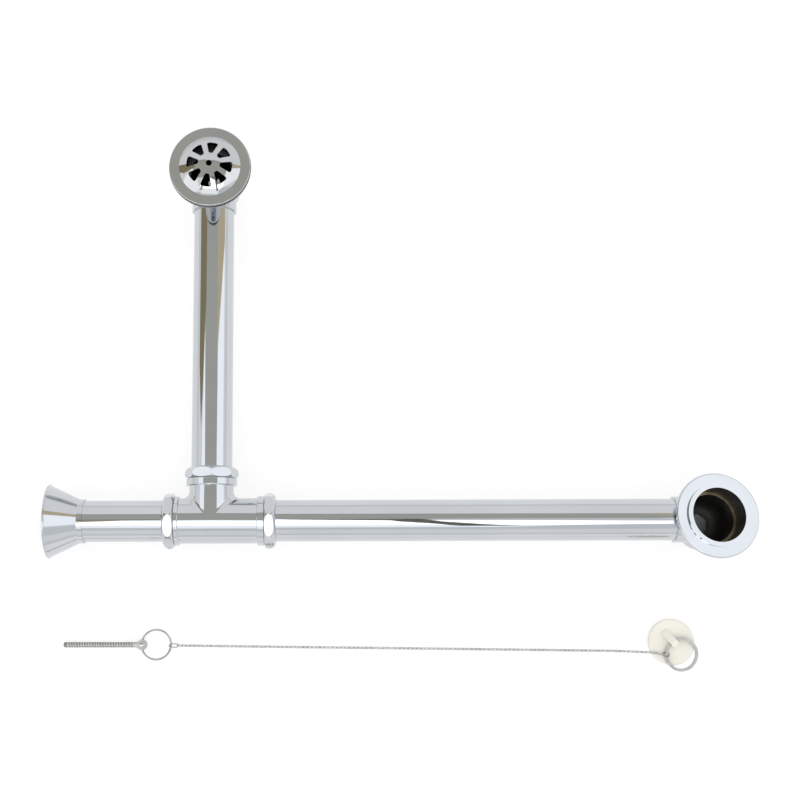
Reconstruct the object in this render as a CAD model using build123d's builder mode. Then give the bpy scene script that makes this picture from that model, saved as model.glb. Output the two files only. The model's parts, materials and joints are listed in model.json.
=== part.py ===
from build123d import *
import math
import os

# Bath waste and overflow, laid flat on its back.
# X runs along the waste line, Y along the overflow pipe, and Z up from the surface.
# The origin is the centre of the outlet tube's free end. All sizes are in millimetres.

# Tube stock and the fits around it
tube_r = 38.1 / 2
tube_wall = 0.9
slip_gap = 0.08             # radial gap where a tube turns or slides
solder_gap = 0.05           # radial gap where a tube is soldered in
thread_gap = 0.1            # radial gap between a nut and its spigot
stop_gap = 0.3              # a sliding tube's end to the stop in the tee

# Layout of the three arms
tee_x = 148.0               # outlet tube's free end to the branch axis
waste_reach = 454.0         # branch axis to the waste's axis
overflow_reach = 322.8      # run axis to the overflow's axis

# Tee
run_wall = 2.75              # tee's wall round the bore of its run
branch_wall = 2.35
tee_fillet = 6.0
collar_round = 0.8
spigot_wall = 2.25           # outside of the tube to the outside of the threaded spigot
spigot_length = 5.0
outlet_seat = 33.4          # branch axis to the seat of the outlet's slip nut
waste_seat = 49.2           # branch axis to the seat of the waste's slip nut
overflow_seat = 38.6        # run axis to the seat of the overflow's slip nut
run_collar_step = 1.45       # spigot to the collar beside it
branch_collar_step = 2.2
outlet_collar_width = 4.3
waste_collar_width = 6.5
overflow_collar_width = 6.8
outlet_grip = 16.5          # how far each tube's socket goes into the tee
waste_grip = 26.0
overflow_grip = 22.0

# Slip nuts and washers
nut_length = 10.5
nut_crown = 4.3             # seat to the widest ring of the nut
nut_seat_drop = 3.0         # how much lower than the crown the nut is at its seat
nut_lip = 1.75              # outside of the tube to the nut's edge at the tube's end
nut_flat_drop = 2.0         # depth of the flats below the crown
nut_flats = 8
nut_bore_gap = 0.4          # radial gap between the nut's lip and the tube
run_crown_step = 4.7        # spigot to the widest ring of the nut
branch_crown_step = 3.6
run_flat_turn = 14.0        # degrees that the upper flat is turned to the front
branch_flat_turn = 27.5     # degrees that the upper flat is turned to the right
washer_thickness = 2.5

# Floor flange on the outlet tube
bell_flare = 15.15          # outside of the tube to the rim's edge
rim_overhang = 2.0          # how far the rim stands past the tube's end
rim_round = 2.0
flange_collar_wall = 1.35
flange_collar_length = 5.0
flange_length = 33.5
flange_wall = 1.3

# Elbows
socket_wall = 1.95
socket_depth = 7.5
waste_socket_reach = 32.2   # waste's axis to the mouth of its socket
overflow_socket_reach = 27.8
waste_bowl_step = 5.2       # socket's radius to the bowl's radius
overflow_bowl_step = 2.4
barrel_wall = 2.8           # wall round the threaded bore
cast_wall = 4.0
heel_round = 16.0
elbow_flange_thickness = 3.6
flange_round = 1.2
waste_fillet = 2.5
overflow_fillet = 1.0

# Waste flange
waste_lean = 7.5            # degrees that the waste leans away from its tube
waste_turn = 5.5            # degrees that the waste arm is turned in the tee
waste_rise = 4.0            # top of the socket to the seat on the raised lip
waste_flange_r = 38.4
waste_face_fall = 0.4       # fall of the flange's face from the lip to its edge
waste_lip_r = 28.6
waste_lip_height = 2.6
waste_bore_r = 24.6
waste_thread_length = 21.5

# Overflow flange, gasket and the post that takes the chain screw
overflow_height = 45.0      # tube axis to the face that the gasket lies on
overflow_flange_r = 37.0
overflow_lip_r = 27.6
overflow_lip_height = 3.0
overflow_bore_r = 21.6
overflow_thread_length = 15.0
gasket_thickness = 5.0
gasket_outer_r = 38.0
gasket_gap = 0.3            # radial gap between the gasket and the lip in it
post_r = 5.5
post_top = 4.0
post_hole_depth = 30.0

# Overflow grille
grille_r = 37.6
grille_thickness = 1.8
grille_edge_round = 0.7
dome_r = 28.4
dome_height = 9.0
hole_count = 8
hole_turn = 36.5            # degrees from X to the first hole
hole_inner_r = 10.0
hole_outer_r = 21.2
hole_inner_width = 3.6
hole_outer_width = 11.6
hole_corner = 1.6

# Chain screw with its ball eye
kit_y = -112.4              # line of the screw and its ring
screw_r = 2.5
screw_gap = 0.3             # radial gap of the screw in the grille
screw_reach = 73.5          # ball's centre to the screw's tip
screw_chamfer = 0.8
neck_r = 3.4
neck_reach = 7.5            # ball's centre to the end of the neck
ball_r = 5.25
eye_r = 1.75

# Wire ring and the joiner between it and the chain
wire_ring_x = 95.0
wire_ring_r = 13.6
wire_r = 0.85
joiner_length = 9.2
joiner_width = 5.2
joiner_wire_r = 0.45
joiner_play = 0.25
joiner_y = -113.3           # the chain draws the joiner a little off the ring's line

# Chain of flat oval links, rolled an eighth of a turn to either side
link_pitch = 3.94
link_width = 2.7
link_wire = 0.8
link_play = 0.16
link_roll = 45.0
link_length = link_pitch + link_play + 2 * link_wire
link_rest = (link_width + link_wire) / 2 * math.sin(math.radians(link_roll))
chain_y = (-114.8, -116.1, -118.5, -119.5)    # sideways drift along the chain
chain_climb = 30.0          # where the chain leaves the surface, before the plug's rim
chain_bend_r = 30.0
rim_clearance = 0.7

# Plug and its lug
plug_x = 568.8
plug_y = -110.3
plug_r = 21.0
plug_foot_r = 18.5
plug_height = 13.0
plug_band = 4.0
plug_round = 1.2
lug_direction = -54.0       # degrees from X in plan
lug_lean = 56.0             # degrees that the lug leans over
lug_root = 6.4              # plug's centre to the lug's root
lug_length = 13.0
lug_width = 8.0
lug_thickness = 6.5
lug_sunk = 4.0              # how far the lug's straight part is drawn into the plug
lug_eye_reach = 7.5         # lug's root to its eye
lug_eye_r = 2.3

# Split ring in the lug and the end link that joins it to the chain
split_ring_r = 14.2
split_ring_band = 2.6
split_ring_leaf = 0.75      # thickness of each of its two turns
split_ring_slot = 0.12
split_ring_gap = 0.15       # ring's underside to the plug's rim
crossover_angle = 30.0
slit_angle = 2.0
end_link_r = 2.9
end_link_wire_r = 0.45
end_link_offset = 0.45      # end link's centre to the middle of the split ring's band

# Radii that follow the tube
bore_r = tube_r - tube_wall
run_body_r = bore_r + run_wall
branch_body_r = bore_r + branch_wall
spigot_r = tube_r + spigot_wall
run_collar_r = spigot_r + run_collar_step
branch_collar_r = spigot_r + branch_collar_step
run_crown_r = spigot_r + run_crown_step
branch_crown_r = spigot_r + branch_crown_step
nut_lip_r = tube_r + nut_lip
flange_collar_r = tube_r + flange_collar_wall
socket_r = tube_r + socket_wall
waste_height = socket_r + waste_rise
rim_r = tube_r + bell_flare

# Surface that everything lies on, below the tube axes
surface_z = -rim_r

# Axes: each line's Z runs out of the tee along a tube, and its X points up
outlet_line = Plane(origin=(tee_x, 0, 0), x_dir=(0, 0, 1), z_dir=(-1, 0, 0))
waste_line = Plane(origin=(tee_x, 0, 0), x_dir=(0, 0, 1), z_dir=(1, 0, 0))
overflow_line = Plane(origin=(tee_x, 0, 0), x_dir=(0, 0, 1), z_dir=(0, 1, 0))
outlet_end = Plane(origin=(0, 0, 0), x_dir=(0, 0, 1), z_dir=(1, 0, 0))
lean = math.radians(waste_lean)
turn = math.radians(waste_turn)
waste_axis = Plane(
    origin=(tee_x + waste_reach, 0, 0),
    x_dir=(math.cos(lean), -math.sin(lean) * math.sin(turn), -math.sin(lean) * math.cos(turn)),
    z_dir=(math.sin(lean), math.cos(lean) * math.sin(turn), math.cos(lean) * math.cos(turn)),
)
overflow_axis = Plane(origin=(tee_x, overflow_reach, 0))


def side_of(line):
    """Plane through a line's axis: its X is the radius and its Y runs along the line."""
    return Plane(origin=line.origin, x_dir=line.x_dir, z_dir=-line.y_dir)


def axis_of(line):
    return Axis(line.origin, line.z_dir)


def fall_away(crest, tangent, run, drop, turn):
    """Arc that leaves a crest along its tangent and has dropped by a given height after a run."""
    radius = (run**2 + drop**2) / (2 * drop)
    angle = math.degrees(math.atan2(run, radius - drop))
    return JernArc(crest, tangent, radius, turn * angle)


def make_tube(line, start, end):
    with BuildPart() as tube:
        with BuildSketch(line.offset(start)):
            Circle(tube_r)
            Circle(bore_r, mode=Mode.SUBTRACT)
        extrude(amount=end - start)
    return tube


def make_nut(line, seat, crown_r, flat_turn):
    """Domed ring with flats, threaded over a spigot, with a lip that presses the washer."""
    thread_r = spigot_r + thread_gap
    lip_start = spigot_length + washer_thickness
    lip_bore_r = tube_r + nut_bore_gap
    with BuildPart() as nut:
        with BuildSketch(side_of(line.offset(seat))):
            with BuildLine():
                fall_away((crown_r, nut_crown), (0, -1), nut_crown, nut_seat_drop, -1)
                fall_away((crown_r, nut_crown), (0, 1), nut_length - nut_crown, crown_r - nut_lip_r, 1)
                Polyline((crown_r - nut_seat_drop, 0), (thread_r, 0), (thread_r, lip_start),
                         (lip_bore_r, lip_start), (lip_bore_r, nut_length), (nut_lip_r, nut_length))
            make_face()
        revolve(axis=axis_of(line))
        with BuildSketch(line.offset(seat)):
            RegularPolygon(crown_r - nut_flat_drop, nut_flats, major_radius=False,
                           rotation=flat_turn + 180 / nut_flats)
        extrude(amount=nut_length, mode=Mode.INTERSECT)
    return nut


def make_washer(line, seat):
    with BuildPart() as washer:
        with BuildSketch(line.offset(seat + spigot_length)):
            Circle(spigot_r)
            Circle(tube_r + slip_gap, mode=Mode.SUBTRACT)
        extrude(amount=washer_thickness)
    return washer


def make_elbow(axis, line, reach, socket_reach, junction_fillet, bowl_r, top, flange_r, face_fall,
               lip_r, lip_height, thread_r, thread_length):
    """Bowl with a flange on top and a socket at its side, bored out to one wall."""
    tilt = math.acos(axis.z_dir.Z)
    heel_flat_r = bowl_r - heel_round
    heel = (-surface_z - heel_round - heel_flat_r * math.sin(tilt)) / math.cos(tilt)
    barrel_r = thread_r + barrel_wall
    face = top - lip_height
    edge = face - face_fall
    under = edge - elbow_flange_thickness
    ledge = top - thread_length
    inner_round = heel_round - cast_wall
    mouth = reach - socket_reach
    with BuildPart() as elbow:
        with BuildSketch(side_of(axis)):
            with BuildLine():
                JernArc((heel_flat_r, -heel - heel_round), (1, 0), heel_round, 90)
                Polyline((bowl_r, -heel), (bowl_r, ledge - cast_wall), (barrel_r, ledge), (barrel_r, top),
                         (0, top), (0, -heel - heel_round), (heel_flat_r, -heel - heel_round))
            make_face()
        revolve(axis=axis_of(axis))
        with BuildSketch(line.offset(mouth)):
            Circle(socket_r)
        extrude(amount=reach - mouth)
        fillet(elbow.edges(Select.LAST).filter_by(GeomType.BSPLINE), junction_fillet)
        with BuildSketch(side_of(axis)) as flange:
            Polygon((0, under), (flange_r, under), (flange_r, edge), (lip_r, face), (lip_r, top), (0, top),
                    align=None)
            fillet(flange.vertices().group_by(Axis.X)[-1], flange_round)
        revolve(axis=axis_of(axis))
        with BuildSketch(side_of(axis)):
            with BuildLine():
                JernArc((heel_flat_r, -heel - inner_round), (1, 0), inner_round, 90)
                Polyline((bowl_r - cast_wall, -heel), (bowl_r - cast_wall, ledge), (thread_r, ledge),
                         (thread_r, top), (0, top), (0, -heel - inner_round),
                         (heel_flat_r, -heel - inner_round))
            make_face()
        revolve(axis=axis_of(axis), mode=Mode.SUBTRACT)
        with BuildSketch(line.offset(mouth)):
            Circle(tube_r + solder_gap)
        extrude(amount=socket_depth, mode=Mode.SUBTRACT)
        with BuildSketch(line.offset(mouth)):
            Circle(bore_r)
        extrude(amount=reach - mouth, mode=Mode.SUBTRACT)
    return elbow


def link_plane(place, course, turns):
    """Plane of a link along its course, rolled an eighth of a turn one way or the other."""
    upright = (Vector(0, 0, 1) - course * course.Z).normalized()
    roll = math.radians(turns * link_roll)
    normal = upright * math.cos(roll) + upright.cross(course) * math.sin(roll)
    return Plane(origin=place, x_dir=course, z_dir=normal)


def keep(builder, name):
    """Label a finished piece and write its file."""
    builder.part.label = name
    export_step(builder.part, f"parts/{name}.step")


os.makedirs("parts", exist_ok=True)

# Tee: two crossing barrels, a collar and a threaded spigot at each end, bored for the tubes
ports = (
    (outlet_line, run_body_r, outlet_seat, run_collar_r, outlet_collar_width, outlet_grip),
    (waste_line, run_body_r, waste_seat, run_collar_r, waste_collar_width, waste_grip),
    (overflow_line, branch_body_r, overflow_seat, branch_collar_r, overflow_collar_width, overflow_grip),
)
with BuildPart() as tee:
    for line, body_r, seat, collar_r, collar_width, grip in ports:
        with BuildSketch(line):
            Circle(body_r)
        extrude(amount=seat)
    fillet(tee.edges(Select.LAST).filter_by(GeomType.BSPLINE), tee_fillet)
    for line, body_r, seat, collar_r, collar_width, grip in ports:
        with BuildSketch(line.offset(seat - collar_width)):
            Circle(collar_r)
        extrude(amount=collar_width)
        fillet(tee.edges(Select.LAST).filter_by(GeomType.CIRCLE).group_by(SortBy.RADIUS)[-1], collar_round)
        with BuildSketch(line.offset(seat)):
            Circle(spigot_r)
        extrude(amount=spigot_length)
    for line, body_r, seat, collar_r, collar_width, grip in ports:
        with BuildSketch(line):
            Circle(bore_r)
        extrude(amount=seat + spigot_length, mode=Mode.SUBTRACT)
        with BuildSketch(line.offset(seat + spigot_length - grip)):
            Circle(tube_r + slip_gap)
        extrude(amount=grip, mode=Mode.SUBTRACT)
keep(tee, "tee")

# Slip nuts and their washers
keep(make_nut(outlet_line, outlet_seat, run_crown_r, -run_flat_turn), "outlet_nut")
keep(make_nut(waste_line, waste_seat, run_crown_r, run_flat_turn), "waste_nut")
keep(make_nut(overflow_line, overflow_seat, branch_crown_r, branch_flat_turn), "overflow_nut")
keep(make_washer(outlet_line, outlet_seat), "outlet_washer")
keep(make_washer(waste_line, waste_seat), "waste_washer")
keep(make_washer(overflow_line, overflow_seat), "overflow_washer")

# Tubes: each ends near its stop in the tee, and two are soldered into their elbows
outlet_start = outlet_seat + spigot_length - outlet_grip + stop_gap
waste_start = waste_seat + spigot_length - waste_grip + stop_gap
overflow_start = overflow_seat + spigot_length - overflow_grip + stop_gap
keep(make_tube(outlet_line, outlet_start, tee_x), "outlet_tube")
waste_end = waste_reach - waste_socket_reach + socket_depth
overflow_end = overflow_reach - overflow_socket_reach + socket_depth
keep(make_tube(waste_line, waste_start, waste_end), "waste_tube")
keep(make_tube(overflow_line, overflow_start, overflow_end), "overflow_tube")

# Floor flange: a spun bell with a collar that slides on the outlet tube
with BuildPart() as floor_flange:
    with BuildSketch(side_of(outlet_end.offset(-rim_overhang))):
        with BuildLine():
            Polyline((tube_r + slip_gap, flange_length), (flange_collar_r, flange_length),
                     (flange_collar_r, flange_length - flange_collar_length),
                     (rim_r - rim_round / 2, rim_round))
            ThreePointArc((rim_r - rim_round / 2, rim_round), (rim_r, rim_round / 2),
                          (rim_r - flange_wall / 2, 0))
            Polyline((rim_r - flange_wall / 2, 0), (rim_r - rim_round, 0),
                     (tube_r + slip_gap, flange_length - flange_collar_length),
                     (tube_r + slip_gap, flange_length))
        make_face()
    revolve(axis=axis_of(outlet_end))
keep(floor_flange, "floor_flange")

# Waste elbow: the plug hole's seat, leaning away from the tube
waste_elbow = make_elbow(
    waste_axis, waste_line, waste_reach, waste_socket_reach, waste_fillet, socket_r + waste_bowl_step,
    waste_height, waste_flange_r, waste_face_fall, waste_lip_r, waste_lip_height, waste_bore_r,
    waste_thread_length,
)
keep(waste_elbow, "waste_elbow")

# Overflow elbow: the same bowl, with a tapped post for the chain screw
overflow_cast = make_elbow(
    overflow_axis, overflow_line, overflow_reach, overflow_socket_reach, overflow_fillet,
    socket_r + overflow_bowl_step, overflow_height + overflow_lip_height, overflow_flange_r, 0.0,
    overflow_lip_r, overflow_lip_height, overflow_bore_r, overflow_thread_length,
)
with BuildPart() as overflow_elbow:
    add(overflow_cast.part)
    with BuildSketch(overflow_axis.offset(surface_z + cast_wall / 2)):
        Circle(post_r)
    extrude(amount=post_top - surface_z - cast_wall / 2)
    with BuildSketch(overflow_axis.offset(post_top)):
        Circle(screw_r)
    extrude(amount=-post_hole_depth, mode=Mode.SUBTRACT)
keep(overflow_elbow, "overflow_elbow")

# Gasket between the elbow's flange and the grille
with BuildPart() as overflow_gasket:
    with BuildSketch(overflow_axis.offset(overflow_height)):
        Circle(gasket_outer_r)
        Circle(overflow_lip_r + gasket_gap, mode=Mode.SUBTRACT)
    extrude(amount=gasket_thickness)
keep(overflow_gasket, "overflow_gasket")

# Grille: a flat rim and a shallow dome with eight rounded wedge holes round the screw's hole
grille_top = overflow_height + gasket_thickness + grille_thickness
with BuildPart() as overflow_grille:
    with BuildSketch(side_of(overflow_axis)) as section:
        with BuildLine():
            fall_away((0, grille_top + dome_height), (1, 0), dome_r, dome_height, -1)
            Polyline((dome_r, grille_top), (grille_r, grille_top), (grille_r, grille_top - grille_thickness),
                     (dome_r - grille_thickness, grille_top - grille_thickness))
            fall_away((0, grille_top - grille_thickness + dome_height), (1, 0),
                      dome_r - grille_thickness, dome_height, -1)
            Line((0, grille_top - grille_thickness + dome_height), (0, grille_top + dome_height))
        make_face()
        fillet(section.vertices().group_by(Axis.X)[-1], grille_edge_round)
    revolve(axis=axis_of(overflow_axis))
    with BuildSketch(overflow_axis.offset(grille_top + dome_height)) as holes:
        with PolarLocations(0, hole_count, start_angle=hole_turn):
            Polygon((hole_inner_r, -hole_inner_width / 2), (hole_outer_r, -hole_outer_width / 2),
                    (hole_outer_r, hole_outer_width / 2), (hole_inner_r, hole_inner_width / 2), align=None)
        Circle(hole_outer_r, mode=Mode.INTERSECT)
        fillet(holes.vertices(), hole_corner)
        Circle(screw_r + screw_gap)
    extrude(amount=-dome_height - grille_thickness, mode=Mode.SUBTRACT)
keep(overflow_grille, "overflow_grille")

# Wire ring: held up by the ball eye at one end and by the joiner at the other
joiner_rest = (joiner_width / 2 - joiner_wire_r) * math.sin(math.radians(link_roll)) + joiner_wire_r
ring_slope = math.asin((ball_r - joiner_rest) / (2 * wire_ring_r))
ring_left_x = wire_ring_x - wire_ring_r * math.cos(ring_slope)
ring_right_x = wire_ring_x + wire_ring_r * math.cos(ring_slope)
ring_plane = Plane(
    origin=(wire_ring_x, kit_y, surface_z + (ball_r + joiner_rest) / 2),
    x_dir=(math.cos(ring_slope), 0, -math.sin(ring_slope)),
    z_dir=(math.sin(ring_slope), 0, math.cos(ring_slope)),
)
with BuildPart(ring_plane) as screw_ring:
    Torus(wire_ring_r, wire_r)
keep(screw_ring, "screw_ring")

# Chain screw: a ball with an eye for the wire ring, lying on its ball and its tip
ball_x = ring_left_x + ball_r**2 / (4 * wire_ring_r)
screw_slope = math.asin((ball_r - screw_r) / screw_reach)
screw_line = Plane(
    origin=(ball_x, kit_y, surface_z + ball_r),
    x_dir=(-math.sin(screw_slope), 0, math.cos(screw_slope)),
    z_dir=(-math.cos(screw_slope), 0, -math.sin(screw_slope)),
)
with BuildPart(screw_line) as chain_screw:
    Sphere(ball_r)
    with BuildSketch(side_of(screw_line)):
        Polygon((0, 0), (neck_r, 0), (neck_r, ball_r - neck_r / 3), (screw_r, neck_reach),
                (screw_r, screw_reach - screw_chamfer), (screw_r - screw_chamfer, screw_reach),
                (0, screw_reach), align=None)
    revolve(axis=axis_of(screw_line))
    with BuildSketch(Plane(origin=screw_line.origin, z_dir=(0, 1, 0))):
        Circle(eye_r)
    extrude(amount=ball_r, both=True, mode=Mode.SUBTRACT)
keep(chain_screw, "chain_screw")

# Joiner: a long oval of round wire through the wire ring
joiner_x = ring_right_x - wire_r - joiner_play - 2 * joiner_wire_r + joiner_length / 2
joiner_plane = link_plane(Vector(joiner_x, joiner_y, surface_z + joiner_rest), Vector(1, 0, 0), 1)
joiner_bend = joiner_width / 2 - joiner_wire_r
joiner_half = joiner_length / 2 - joiner_wire_r - joiner_bend
with BuildPart() as chain_joiner:
    with BuildLine(joiner_plane) as joiner_path:
        Line((-joiner_half, joiner_bend), (joiner_half, joiner_bend))
        JernArc((joiner_half, joiner_bend), (1, 0), joiner_bend, -180)
        Line((joiner_half, -joiner_bend), (-joiner_half, -joiner_bend))
        JernArc((-joiner_half, -joiner_bend), (-1, 0), joiner_bend, -180)
    with BuildSketch(Plane(origin=joiner_path.line @ 0, z_dir=joiner_path.line % 0)):
        Circle(joiner_wire_r)
    sweep()
keep(chain_joiner, "chain_joiner")

# Plug: a tapered stopper with a lug that the ring has pulled over to one side
plug_top = surface_z + plug_height
lug_angle = math.radians(lug_direction)
lug_tilt = math.radians(lug_lean)
along = Vector(math.cos(lug_angle), math.sin(lug_angle), 0)
across = Vector(-math.sin(lug_angle), math.cos(lug_angle), 0)
lug_up = along * math.sin(lug_tilt) + Vector(0, 0, math.cos(lug_tilt))
plug_axis = Plane(origin=(plug_x, plug_y, surface_z))
lug_plane = Plane(origin=Vector(plug_x, plug_y, plug_top) - along * lug_root, x_dir=lug_up, z_dir=across)
with BuildPart() as plug:
    with BuildSketch(side_of(plug_axis)) as plug_section:
        Polygon((0, 0), (plug_foot_r, 0), (plug_r, plug_height - plug_band), (plug_r, plug_height),
                (0, plug_height), align=None)
        fillet(plug_section.vertices().group_by(Axis.X)[-1].sort_by(Axis.Y)[-1], plug_round)
    revolve(axis=axis_of(plug_axis))
    with BuildSketch(lug_plane):
        with Locations(((lug_length - lug_width / 2 - lug_sunk) / 2, 0)):
            Rectangle(lug_length - lug_width / 2 + lug_sunk, lug_width)
        with Locations((lug_length - lug_width / 2, 0)):
            Circle(lug_width / 2)
    extrude(amount=lug_thickness / 2, both=True)
    with BuildSketch(lug_plane):
        with Locations((lug_eye_reach, 0)):
            Circle(lug_eye_r)
    extrude(amount=lug_thickness, both=True, mode=Mode.SUBTRACT)
keep(plug, "plug")

# Split ring: two flat turns joined by a crossover, through the lug's eye and over the plug's rim
ring_height = 2 * split_ring_leaf + split_ring_slot
eye_height = lug_eye_reach * math.cos(lug_tilt)
eye_along = lug_eye_reach * math.sin(lug_tilt) - lug_root
ring_along = eye_along + split_ring_r
rim_along = (ring_along**2 + plug_r**2 - split_ring_r**2) / (2 * ring_along)
split_slope = math.atan((eye_height - ring_height / 2 - split_ring_gap) / (rim_along - eye_along))
ring_out = along * math.cos(split_slope) - Vector(0, 0, math.sin(split_slope))
ring_up = along * math.sin(split_slope) + Vector(0, 0, math.cos(split_slope))
eye_point = Vector(plug_x, plug_y, plug_top) + along * eye_along + Vector(0, 0, eye_height)
split_plane = Plane(origin=eye_point + ring_out * split_ring_r, x_dir=ring_out, z_dir=ring_up)
leaf_offset = (split_ring_leaf + split_ring_slot) / 2
wedge_side = split_ring_r * 2 * math.tan(math.radians(crossover_angle / 2))
with BuildPart() as plug_ring:
    for side in (-1, 1):
        with BuildSketch(split_plane.offset(side * leaf_offset - split_ring_leaf / 2)):
            Circle(split_ring_r + split_ring_band / 2)
            Circle(split_ring_r - split_ring_band / 2, mode=Mode.SUBTRACT)
            with PolarLocations(split_ring_r, 1, start_angle=side * (crossover_angle + slit_angle) / 2):
                Rectangle(split_ring_band * 2, split_ring_r * math.radians(slit_angle), mode=Mode.SUBTRACT)
        extrude(amount=split_ring_leaf)
    with BuildSketch(split_plane.offset(-split_ring_slot / 2)):
        Circle(split_ring_r + split_ring_band / 2)
        Circle(split_ring_r - split_ring_band / 2, mode=Mode.SUBTRACT)
        Polygon((0, 0), (split_ring_r * 2, -wedge_side), (split_ring_r * 2, wedge_side), align=None,
                mode=Mode.INTERSECT)
    extrude(amount=split_ring_slot)
keep(plug_ring, "plug_ring")

# Course of the chain's end: over the plug's rim to where the split ring's band comes nearest
rim_half = math.sqrt(plug_r**2 - (chain_y[2] - plug_y) ** 2)
rim_x = plug_x - rim_half
rim_point = Vector(rim_x - rim_clearance, chain_y[3], plug_top + link_rest + rim_clearance)
nearest = math.radians(180 - lug_direction)
band_point = split_plane.from_local_coords(
    Vector(split_ring_r * math.cos(nearest), split_ring_r * math.sin(nearest), 0))
end_course = (band_point - rim_point).normalized()

# End link: round the split ring's band
end_link_centre = band_point - end_course * end_link_offset
with BuildPart(link_plane(end_link_centre, end_course, 1)) as end_link:
    Torus(end_link_r, end_link_wire_r)
keep(end_link, "end_link")

# Chain: from the joiner along the surface, then up over the plug's rim to the end link
link_reach = link_length / 2 - link_wire
first_x = joiner_x + joiner_length / 2 - 2 * joiner_wire_r - link_play + link_reach
rest_z = surface_z + link_rest
chain_points = (
    (first_x, joiner_y, surface_z + joiner_rest),
    ((first_x * 3 + rim_x) / 4, chain_y[0], rest_z),
    ((first_x + rim_x) / 2, chain_y[1], rest_z),
    (rim_x - chain_climb, chain_y[2], rest_z),
    rim_point,
    end_link_centre - end_course * (end_link_r - end_link_wire_r - link_play + link_reach),
)
with BuildLine() as chain_path:
    FilletPolyline(*chain_points, radius=chain_bend_r)
chain_line = chain_path.wire()
pair_count = math.ceil(chain_line.length / link_pitch / 2)
link_step = chain_line.length / (2 * pair_count)
link_places = []
for number in range(2 * pair_count + 1):
    place = chain_line.position_at(number * link_step, PositionMode.LENGTH)
    course = chain_line.tangent_at(number * link_step, PositionMode.LENGTH)
    turns = 1 if number % 2 else -1
    link_places.append(link_plane(place, course, turns).location)
corner = link_width * 0.3
half_length = link_length / 2
half_width = link_width / 2
with BuildPart() as link:
    with BuildSketch():
        Polygon((-half_length, -half_width + corner), (-half_length + corner, -half_width),
                (half_length - corner, -half_width), (half_length, -half_width + corner),
                (half_length, half_width - corner), (half_length - corner, half_width),
                (-half_length + corner, half_width), (-half_length, half_width - corner), align=None)
        Rectangle(link_length - 2 * link_wire, link_width - 2 * link_wire, mode=Mode.SUBTRACT)
    extrude(amount=link_wire / 2, both=True)
with BuildPart() as plug_chain:
    with Locations(*link_places):
        add(link.part, clean=False)
keep(plug_chain, "plug_chain")
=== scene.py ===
import json
import math

import bpy
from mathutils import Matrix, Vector


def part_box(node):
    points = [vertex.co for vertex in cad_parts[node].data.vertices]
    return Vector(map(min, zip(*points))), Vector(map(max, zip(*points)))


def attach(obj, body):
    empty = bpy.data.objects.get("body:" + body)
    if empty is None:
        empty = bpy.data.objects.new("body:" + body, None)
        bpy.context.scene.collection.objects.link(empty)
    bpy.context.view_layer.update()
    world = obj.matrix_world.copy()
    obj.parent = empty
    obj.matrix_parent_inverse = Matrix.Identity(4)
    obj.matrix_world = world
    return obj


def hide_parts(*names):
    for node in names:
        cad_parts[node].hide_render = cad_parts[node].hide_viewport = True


# Bath waste and overflow, laid flat: looks, light and camera. All lengths are in metres.

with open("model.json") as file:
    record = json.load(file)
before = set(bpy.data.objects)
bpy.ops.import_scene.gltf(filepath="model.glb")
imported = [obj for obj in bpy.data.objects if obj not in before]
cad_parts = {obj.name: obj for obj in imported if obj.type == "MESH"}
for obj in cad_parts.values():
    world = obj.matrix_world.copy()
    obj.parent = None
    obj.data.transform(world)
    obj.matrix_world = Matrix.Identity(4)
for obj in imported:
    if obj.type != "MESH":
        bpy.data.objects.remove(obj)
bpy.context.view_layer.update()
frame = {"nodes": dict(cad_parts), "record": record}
nodes = frame["nodes"]
mounts = {mount["name"]: mount for mount in frame["record"]["mounts"]}
body_names = {node: body for body, held in frame["record"]["behaviour"]["bodies"].items() for node in held}
scene = bpy.context.scene


def middle(node):
    low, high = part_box(node)
    return (low + high) / 2


# Places that the frame gives
surface_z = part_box("floor_flange")[0].z
outlet_point = Vector(mounts["outlet_bore"]["pos_m"])
bore_r = mounts["outlet_bore"]["dims"]["r_mm"] / 1000
waste_top = Vector(mounts["waste_bore"]["pos_m"])
waste_up = Vector(mounts["waste_bore"]["axis"]).normalized()
waste_bore_r = mounts["waste_bore"]["dims"]["r_mm"] / 1000
waste_bore_depth = mounts["waste_bore"]["dims"]["length_mm"] / 1000
overflow_point = middle("overflow_tube")
grille_centre = middle("overflow_grille")
along_run = Vector((1, 0, 0))
along_overflow = Vector((0, 1, 0))
up = Vector((0, 0, 1))


# Materials

cloud_start, cloud_end = 0.35, 0.65        # where the noise turns from one colour to the other
polish_start, polish_end = 0.33, 0.67      # where the noise turns from the smooth to the rough polish
polish_to_cloud = 3                        # how much finer the polish wanders than the colour


def set_sockets(node, values):
    for socket, value in values.items():
        node.inputs[socket.replace("_", " ")].default_value = value


def add_node(tree, kind, **values):
    """A shader node with its constants set on its own sockets."""
    node = tree.nodes.new(kind)
    set_sockets(node, values)
    return node


def principled(name, **values):
    """A node material, its tree and its shader, with constants set on the shader's own sockets."""
    material = bpy.data.materials.new(name)
    material.use_nodes = True
    shader = material.node_tree.nodes["Principled BSDF"]
    set_sockets(shader, values)
    return material, material.node_tree, shader


def bare_tree(name):
    """A node material whose tree holds nothing but its output."""
    material = bpy.data.materials.new(name)
    material.use_nodes = True
    tree = material.node_tree
    tree.nodes.clear()
    return material, tree, tree.nodes.new("ShaderNodeOutputMaterial")


def noise(tree, scale, detail=3.0):
    """Noise in the part's own coordinates."""
    place = add_node(tree, "ShaderNodeTexCoord")
    texture = add_node(tree, "ShaderNodeTexNoise", Scale=scale, Detail=detail)
    tree.links.new(place.outputs["Object"], texture.inputs["Vector"])
    return texture.outputs["Fac"]


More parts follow.
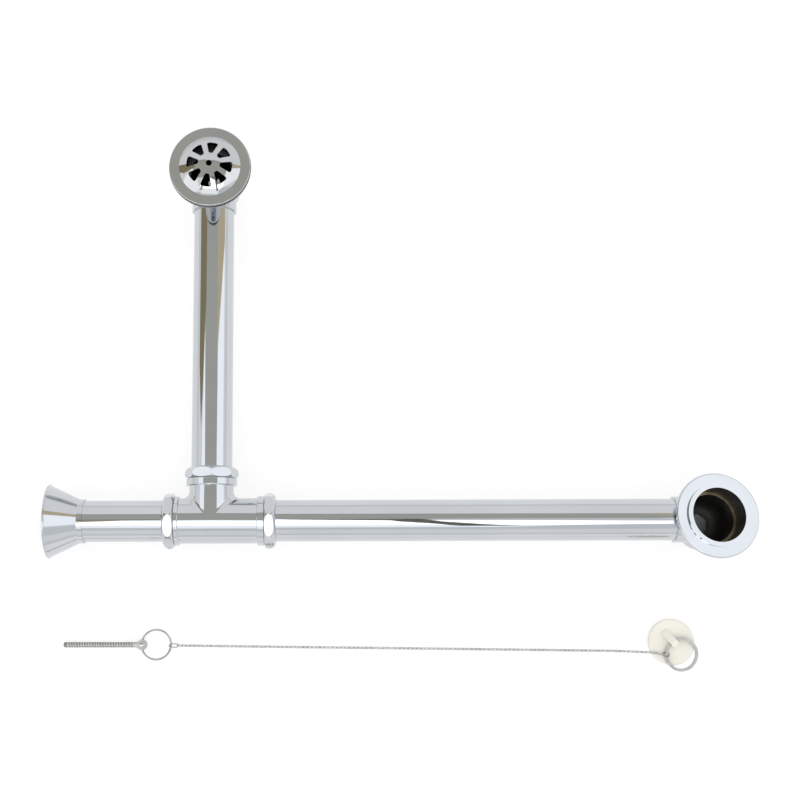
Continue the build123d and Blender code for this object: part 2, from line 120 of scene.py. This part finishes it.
def cloudy(tree, scale, dark, light):
    """Two colours that blend into each other in soft patches."""
    node = add_node(tree, "ShaderNodeValToRGB")
    ends = node.color_ramp.elements
    ends[0].position = cloud_start
    ends[1].position = cloud_end
    ends[0].color = (*dark, 1)
    ends[1].color = (*light, 1)
    tree.links.new(noise(tree, scale), node.inputs["Fac"])
    return node.outputs["Color"]


def uneven(tree, scale, low, high):
    """A number that wanders between low and high."""
    node = add_node(tree, "ShaderNodeMapRange", From_Min=polish_start, From_Max=polish_end,
                    To_Min=low, To_Max=high)
    tree.links.new(noise(tree, scale, detail=4.0), node.inputs["Value"])
    return node.outputs["Result"]


def metal(name, dark, light, smooth, rough, patch):
    """Plated or bare metal: cloudy colour and uneven polish."""
    material, tree, shader = principled(name, Metallic=1.0)
    tree.links.new(cloudy(tree, patch, dark, light), shader.inputs["Base Color"])
    tree.links.new(uneven(tree, patch * polish_to_cloud, smooth, rough), shader.inputs["Roughness"])
    return material


def matte(name, dark, light, rough, patch=60.0, grain=1500.0, depth=0.00003):
    """Rubber, or a dull cast wall that also carries painted shade: cloudy colour and a finely grained skin.
    """
    material, tree, shader = principled(name, Roughness=rough)
    tree.links.new(cloudy(tree, patch, dark, light), shader.inputs["Base Color"])
    skin = add_node(tree, "ShaderNodeBump", Strength=1.0, Distance=depth)
    tree.links.new(noise(tree, grain), skin.inputs["Height"])
    tree.links.new(skin.outputs["Normal"], shader.inputs["Normal"])
    return material


plate_dark = (0.565, 0.590, 0.615)
plate_light = (0.590, 0.612, 0.636)
chrome_cast = metal("chrome_cast", plate_dark, plate_light, 0.03, 0.07, patch=30)
chrome_nut = metal("chrome_nut", plate_dark, plate_light, 0.03, 0.06, patch=50)
chrome_tube = metal("chrome_tube", plate_dark, plate_light, 0.025, 0.05, patch=20)
chrome_spun = metal("chrome_spun", plate_dark, plate_light, 0.03, 0.06, patch=25)
chrome_pressed = metal("chrome_pressed", (0.54, 0.555, 0.565), (0.575, 0.585, 0.59), 0.04, 0.09, patch=35)
# Bore walls: dull unplated brass, with a near-black colour that is painted shade deep inside the bores
dull_brass_painted_shade = matte("dull_brass_painted_shade", (0.010, 0.009, 0.007), (0.026, 0.023, 0.016), 0.5, patch=90, grain=700,
                  depth=0.00004)
ledge_brass = metal("ledge_brass", (0.30, 0.24, 0.16), (0.46, 0.38, 0.27), 0.30, 0.45, patch=90)
kit_plating = metal("kit_plating", (0.50, 0.50, 0.49), (0.64, 0.64, 0.62), 0.10, 0.20, patch=120)
# Screw shaft between the thread's turns: a darker colour that is painted shade in the grooves
thread_groove_painted_shade = metal("thread_groove_painted_shade", (0.24, 0.235, 0.22), (0.34, 0.335, 0.32), 0.30, 0.45, patch=150)
kit_wire = metal("kit_wire", (0.32, 0.32, 0.31), (0.46, 0.46, 0.45), 0.14, 0.26, patch=150)
kit_chain = metal("kit_chain", (0.46, 0.46, 0.44), (0.62, 0.62, 0.60), 0.12, 0.25, patch=200)
kit_steel = metal("kit_steel", (0.46, 0.46, 0.45), (0.58, 0.58, 0.57), 0.10, 0.20, patch=150)
washer_rubber = matte("slip_washer", (0.020, 0.020, 0.020), (0.045, 0.045, 0.045), 0.6)
gasket_rubber = matte("gasket", (0.045, 0.047, 0.050), (0.080, 0.082, 0.085), 0.45)
plug_rubber = matte("plug", (0.800, 0.775, 0.690), (0.860, 0.835, 0.755), 0.45, patch=45, depth=0.00002)

finishes = {
    "tee": chrome_cast, "waste_elbow": chrome_cast, "overflow_elbow": chrome_cast,
    "outlet_nut": chrome_nut, "waste_nut": chrome_nut, "overflow_nut": chrome_nut,
    "outlet_tube": chrome_tube, "waste_tube": chrome_tube, "overflow_tube": chrome_tube,
    "floor_flange": chrome_spun, "overflow_grille": chrome_pressed,
    "outlet_washer": washer_rubber, "waste_washer": washer_rubber, "overflow_washer": washer_rubber,
    "overflow_gasket": gasket_rubber, "chain_screw": kit_plating, "screw_ring": kit_wire,
    "chain_joiner": kit_wire, "plug_chain": kit_chain, "end_link": kit_wire,
    "plug_ring": kit_steel, "plug": plug_rubber,
}
for node, material in finishes.items():
    for material_slot in nodes[node].material_slots:
        material_slot.material = material


def coat_faces(node, material, wanted):
    """Gives a further material to those faces of a node that are wanted."""
    mesh = nodes[node].data
    mesh.materials.append(material)
    for face in mesh.polygons:
        if wanted(face):
            face.material_index = len(mesh.materials) - 1


def unplate_and_shade_inside(node, point, axis, radius):
    """Leaves the plating off the walls of a bore and darkens them with painted shade: faces near its axis
    that look at it.
    """
    def wanted(face):
        arm = face.center - point
        arm -= axis * arm.dot(axis)
        return arm.length < radius and face.normal.dot(arm) < 0

    coat_faces(node, dull_brass_painted_shade, wanted)


# Bore walls within these margins are left unplated and take the near-black painted shade
tube_margin = 0.0012        # from the bore's radius to the widest step inside it that stays bare
bowl_margin = 0.0004        # the same for the bowl of the waste
ledge_margin = 0.0002
ledge_facing = 0.9          # least cosine between the ledge's faces and the axis of the waste
for node in ("outlet_tube", "waste_tube", "tee", "waste_elbow"):
    unplate_and_shade_inside(node, outlet_point, along_run, bore_r + tube_margin)
for node in ("overflow_tube", "tee", "overflow_elbow"):
    unplate_and_shade_inside(node, overflow_point, along_overflow, bore_r + tube_margin)
unplate_and_shade_inside("waste_elbow", waste_top, waste_up, waste_bore_r + bowl_margin)
unplate_and_shade_inside("overflow_elbow", grille_centre, up, waste_bore_r)


def on_ledge(face):
    down = (waste_top - face.center).dot(waste_up)
    return abs(down - waste_bore_depth) < ledge_margin and face.normal.dot(waste_up) > ledge_facing


coat_faces("waste_elbow", ledge_brass, on_ledge)


# Fine shapes that the solids leave out

def new_piece(name, points, faces, node, material):
    """A smooth-shaded mesh that rides on a node's body and takes its finish from a slot."""
    mesh = bpy.data.meshes.new(name)
    mesh.from_pydata(points, [], faces)
    mesh.polygons.foreach_set("use_smooth", [True] * len(faces))
    mesh.materials.append(material)
    piece = bpy.data.objects.new(name, mesh)
    scene.collection.objects.link(piece)
    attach(piece, body_names[node])
    return piece


def ring_faces(rings, around, closed=False):
    """Quads between rings of points, each ring with the same number of points."""
    faces = []
    for i in range(rings if closed else rings - 1):
        here, there = i * around, (i + 1) % rings * around
        for j in range(around):
            following = (j + 1) % around
            faces.append((here + j, here + following, there + following, there + j))
    return faces


# Thread on the chain screw: a helical ridge that stands proud of the plain shaft
screw_low, screw_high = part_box("chain_screw")
ball_r = (screw_high.z - screw_low.z) / 2
shaft_r = 0.0025
shaft_margin = 0.0001
thread_depth = 0.0007
thread_sunk = 0.45          # share of the depth that lies under the shaft's surface
thread_pitch = 0.00245
thread_start = 0.0008       # from the screw's tip
thread_end = 0.0700
thread_around, thread_steps = 20, 10
ball_centre = Vector((screw_high.x - ball_r, (screw_low.y + screw_high.y) / 2, surface_z + ball_r))
screw_tip = Vector((screw_low.x, ball_centre.y, surface_z + shaft_r))
screw_course = (ball_centre - screw_tip).normalized()
screw_side = Vector((0, 1, 0))
screw_up = screw_side.cross(screw_course) * -1
points = []
ring_count = round((thread_end - thread_start) / thread_pitch * thread_steps)
for i in range(ring_count + 1):
    along = thread_start + i * thread_pitch / thread_steps
    fade = min(1, i / thread_steps, (ring_count - i) / thread_steps)
    for j in range(thread_around):
        turn = j / thread_around
        phase = (along / thread_pitch - turn) % 1.0
        height = thread_depth * (fade * (1 - abs(2 * phase - 1)) - thread_sunk)
        angle = 2 * math.pi * turn
        outward = screw_side * math.cos(angle) + screw_up * math.sin(angle)
        points.append(screw_tip + screw_course * along + outward * (shaft_r - shaft_margin + height))
new_piece("screw_thread", points, ring_faces(ring_count + 1, thread_around), "chain_screw", kit_plating)


def on_thread(face):
    arm = face.center - screw_tip
    along = arm.dot(screw_course)
    return 0 < along < thread_end and (arm - screw_course * along).length < shaft_r + shaft_margin


# The shaft faces under the thread take the darker colour: painted shade in the grooves between its turns
coat_faces("chain_screw", thread_groove_painted_shade, on_thread)

# Gasket with a ribbed rim
gasket_low, gasket_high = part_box("overflow_gasket")
gasket_centre = (gasket_low + gasket_high) / 2
gasket_r = (gasket_high.x - gasket_low.x) / 2
gasket_hole_share = 0.735
gasket_hole_r = gasket_r * gasket_hole_share
rib_count = 96
rib_depth = 0.0006
rib_edge = 0.0004
rib_steps = 8
# Round the gasket's section: radius, height and whether the ribs cut into it
section = ((gasket_hole_r, gasket_low.z, 0), (gasket_r - rib_edge, gasket_low.z, 0),
           (gasket_r, gasket_low.z + rib_edge, 1), (gasket_r, gasket_high.z - rib_edge, 1),
           (gasket_r - rib_edge, gasket_high.z, 0), (gasket_hole_r, gasket_high.z, 0))
points = []
for i in range(rib_count * rib_steps):
    angle = 2 * math.pi * i / (rib_count * rib_steps)
    groove = rib_depth * (1 - math.cos(2 * math.pi * (i % rib_steps) / rib_steps)) / 2
    for radius, height, ribbed in section:
        reach = radius - groove * ribbed
        points.append((gasket_centre.x + reach * math.cos(angle),
                       gasket_centre.y + reach * math.sin(angle), height))
gasket_faces = ring_faces(rib_count * rib_steps, len(section), closed=True)
ribbed_gasket = new_piece("ribbed_gasket", points, gasket_faces, "overflow_gasket", gasket_rubber)
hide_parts("overflow_gasket")

# The chain and its joiner are bent wire, so their edges are rounded off
weld_gap = 0.00002
for node in ("plug_chain", "chain_joiner"):
    weld = nodes[node].modifiers.new("weld", "WELD")
    weld.merge_threshold = weld_gap
    rounding = nodes[node].modifiers.new("rounding", "SUBSURF")
    rounding.levels = rounding.render_levels = 1


# The studio overhead: a drab ceiling between white boxes, with the stands that hold them

card_z = 1.8
card_step = 0.004           # each layer of cards hangs this much under the one before
low_layer = 225             # the one card that hangs at half the height
olive = (0.510, 0.505, 0.460)
dark_grey = (0.42, 0.42, 0.40)
brown = (0.310, 0.260, 0.155)
tan = (0.650, 0.560, 0.385)
grey = (0.80, 0.82, 0.84)
stand_black = (0.170, 0.155, 0.130)
stand_grey = (0.25, 0.25, 0.23)
dim_white = (1.36, 1.38, 1.42)
box_white = (2.40, 2.40, 2.40)

# Name, colour, layer and corners in plan
cards = (
    ("front_wall", grey, 0, ((-4.0, -0.9), (4.0, -0.9), (4.0, -2.7), (-4.0, -2.7))),
    ("ceiling", olive, 1, ((-1.25, -0.05), (0.0, -0.05), (1.05, -0.30), (1.30, 0.45), (1.10, 1.05),
                           (0.60, 1.12), (-0.20, 1.24), (-1.10, 1.32), (-1.45, 0.90))),
    ("ceiling_end", dark_grey, 2, ((-1.10, 1.16), (-0.20, 1.10), (0.60, 0.98), (1.10, 0.94), (1.10, 1.05),
                                   (0.60, 1.12), (-0.20, 1.24), (-1.10, 1.32))),
    ("left_drape", brown, 3, ((-1.15, 0.75), (-1.10, 1.32), (-2.50, 1.50), (-7.0, 3.10), (-7.0, 1.60),
                              (-3.1, 0.62), (-2.2, 0.62))),
    ("right_drape", tan, 3, ((1.05, 0.55), (1.00, 1.06), (5.0, 2.15), (5.0, 1.70))),
    ("left_box", dim_white, 4, ((-0.95, 0.10), (-1.10, 0.40), (-1.40, 0.72), (-2.50, 0.36), (-3.6, -0.30),
                                (-3.0, -1.60), (-0.90, -1.40))),
    ("right_box", dim_white, 4, ((1.20, 0.20), (1.28, 0.58), (5.0, 1.78), (5.0, 0.50), (2.6, -0.20),
                                 (0.95, -1.00), (0.75, -0.45))),
    ("right_flag", dim_white, low_layer, ((0.98, 0.22), (1.40, 0.24), (1.40, 0.40), (1.28, 0.46),
                                          (1.10, 0.46), (0.98, 0.40))),
    ("front_low", dim_white, 3, ((-0.92, -0.90), (0.90, -1.00), (0.70, -1.62), (-0.92, -1.60))),
    ("front_box", box_white, 5, ((-0.65, -0.35), (-0.45, -0.10), (0.0, -0.10), (1.15, -0.37),
                                 (1.10, -0.80), (0.9, -1.02), (-0.9, -0.92))),
    ("box_frame", grey, 6, ((0.48, -0.02), (1.08, -0.12), (1.12, -0.36), (0.48, -0.21))),
    ("front_stand", stand_black, 7, ((0.36, -0.10), (0.46, -0.10), (0.62, -0.85), (0.74, -1.25),
                                     (0.58, -1.25), (0.50, -0.75))),
    ("stand_head", stand_grey, 7, ((0.10, 0.0), (0.44, -0.02), (0.40, -0.24), (0.16, -0.14))),
    ("left_stand", stand_grey, 7, ((-0.42, 0.12), (-0.10, 0.12), (-0.10, -0.08), (-0.34, -0.08))),
    ("left_pole", tan, 7, ((-0.28, -0.05), (-0.20, -0.05), (-0.70, -1.15), (-1.05, -1.25))),
)


def emission_card(name, colour, layer, corners):
    """A plain card overhead that only polished surfaces see: it neither shows nor lights anything else."""
    mesh = bpy.data.meshes.new(name)
    height = card_z - layer * card_step
    mesh.from_pydata([(x, y, height) for x, y in corners], [], [tuple(range(len(corners)))])
    card = bpy.data.objects.new(name, mesh)
    scene.collection.objects.link(card)
    material, tree, output = bare_tree(name)
    emission = add_node(tree, "ShaderNodeEmission", Color=(*colour, 1))
    tree.links.new(emission.outputs["Emission"], output.inputs["Surface"])
    mesh.materials.append(material)
    card.visible_camera = False
    card.visible_diffuse = False
    card.visible_shadow = False
    card.visible_transmission = False


for card_values in cards:
    emission_card(*card_values)

# Surface: near white, with a faint shadow, where it is seen or reflected, and plain diffuse to all other rays
floor_size = 8.0
bpy.ops.mesh.primitive_plane_add(size=floor_size, location=(0.3, 0.1, surface_z))
floor = bpy.context.object
floor.name = "floor"
floor_material, tree, output = bare_tree("floor")
path = add_node(tree, "ShaderNodeLightPath")
seen = add_node(tree, "ShaderNodeMath")
seen.operation = "MAXIMUM"
shown = add_node(tree, "ShaderNodeMath")
shown.operation = "MAXIMUM"
tree.links.new(path.outputs["Is Camera Ray"], seen.inputs[0])
tree.links.new(path.outputs["Is Glossy Ray"], seen.inputs[1])
tree.links.new(seen.outputs["Value"], shown.inputs[0])
tree.links.new(path.outputs["Is Transmission Ray"], shown.inputs[1])
pale = add_node(tree, "ShaderNodeBsdfDiffuse", Color=(0.82, 0.82, 0.82, 1))
glow = add_node(tree, "ShaderNodeEmission", Color=(1, 1, 1, 1), Strength=0.78)
faint = add_node(tree, "ShaderNodeBsdfDiffuse", Color=(0.26, 0.26, 0.26, 1))
backed = add_node(tree, "ShaderNodeAddShader")
choice = add_node(tree, "ShaderNodeMixShader")
tree.links.new(glow.outputs["Emission"], backed.inputs[0])
tree.links.new(faint.outputs["BSDF"], backed.inputs[1])
tree.links.new(shown.outputs["Value"], choice.inputs["Fac"])
tree.links.new(pale.outputs["BSDF"], choice.inputs[1])
tree.links.new(backed.outputs["Shader"], choice.inputs[2])
tree.links.new(choice.outputs["Shader"], output.inputs["Surface"])
floor.data.materials.append(floor_material)

# World: plain white light, and for reflections alone two slightly darker bands low above the horizon
white = (1, 1, 1, 1)
blue_cast = 1.02
bands = ((0.004, 0.74), (0.050, 0.74), (0.070, 0.92), (0.110, 0.92), (0.125, 0.78), (0.150, 0.78),
         (0.175, 0.98))
world = bpy.data.worlds.new("studio")
world.use_nodes = True
tree = world.node_tree
surroundings = tree.nodes["Background"]
set_sockets(surroundings, {"Strength": 1.0})
place = add_node(tree, "ShaderNodeTexCoord")
parts = add_node(tree, "ShaderNodeSeparateXYZ")
wall = add_node(tree, "ShaderNodeValToRGB")
stops = wall.color_ramp.elements
stops[0].color = stops[1].color = white
for height, shade in bands:
    stops.new(height).color = (shade, shade, shade * blue_cast, 1)
path = add_node(tree, "ShaderNodeLightPath")
glossy_only = add_node(tree, "ShaderNodeMixRGB", Color1=white)
tree.links.new(place.outputs["Generated"], parts.inputs["Vector"])
tree.links.new(parts.outputs["Z"], wall.inputs["Fac"])
tree.links.new(path.outputs["Is Glossy Ray"], glossy_only.inputs["Fac"])
tree.links.new(wall.outputs["Color"], glossy_only.inputs["Color2"])
tree.links.new(glossy_only.outputs["Color"], surroundings.inputs["Color"])
scene.world = world

lamp_data = bpy.data.lights.new("soft_lamp", "AREA")
lamp_data.shape = "RECTANGLE"
lamp_data.size = 1.6
lamp_data.size_y = 1.0
lamp_data.energy = 3.0
lamp = bpy.data.objects.new("soft_lamp", lamp_data)
lamp.location = (0.3, -0.9, 1.5)
lamp.rotation_euler = (math.radians(32), 0, 0)
lamp.visible_glossy = False
scene.collection.objects.link(lamp)

# Camera, with the sideways shift that the photo's framing needs
image_size = 800
focal_px = 1300.0
principal_column = 300.8
sensor = 36.0               # millimetres
camera_data = bpy.data.cameras.new("camera")
camera_data.sensor_width = sensor
camera_data.lens = focal_px / image_size * sensor
camera_data.shift_x = 0.5 - principal_column / image_size
camera_data.clip_end = 50
camera = bpy.data.objects.new("camera", camera_data)
camera.location = (0.2597, -0.0884, 1.1955)
camera.rotation_euler = (math.radians(9.528), math.radians(1.414), math.radians(-0.078))
scene.collection.objects.link(camera)
scene.camera = camera
scene.view_settings.view_transform = "Standard"
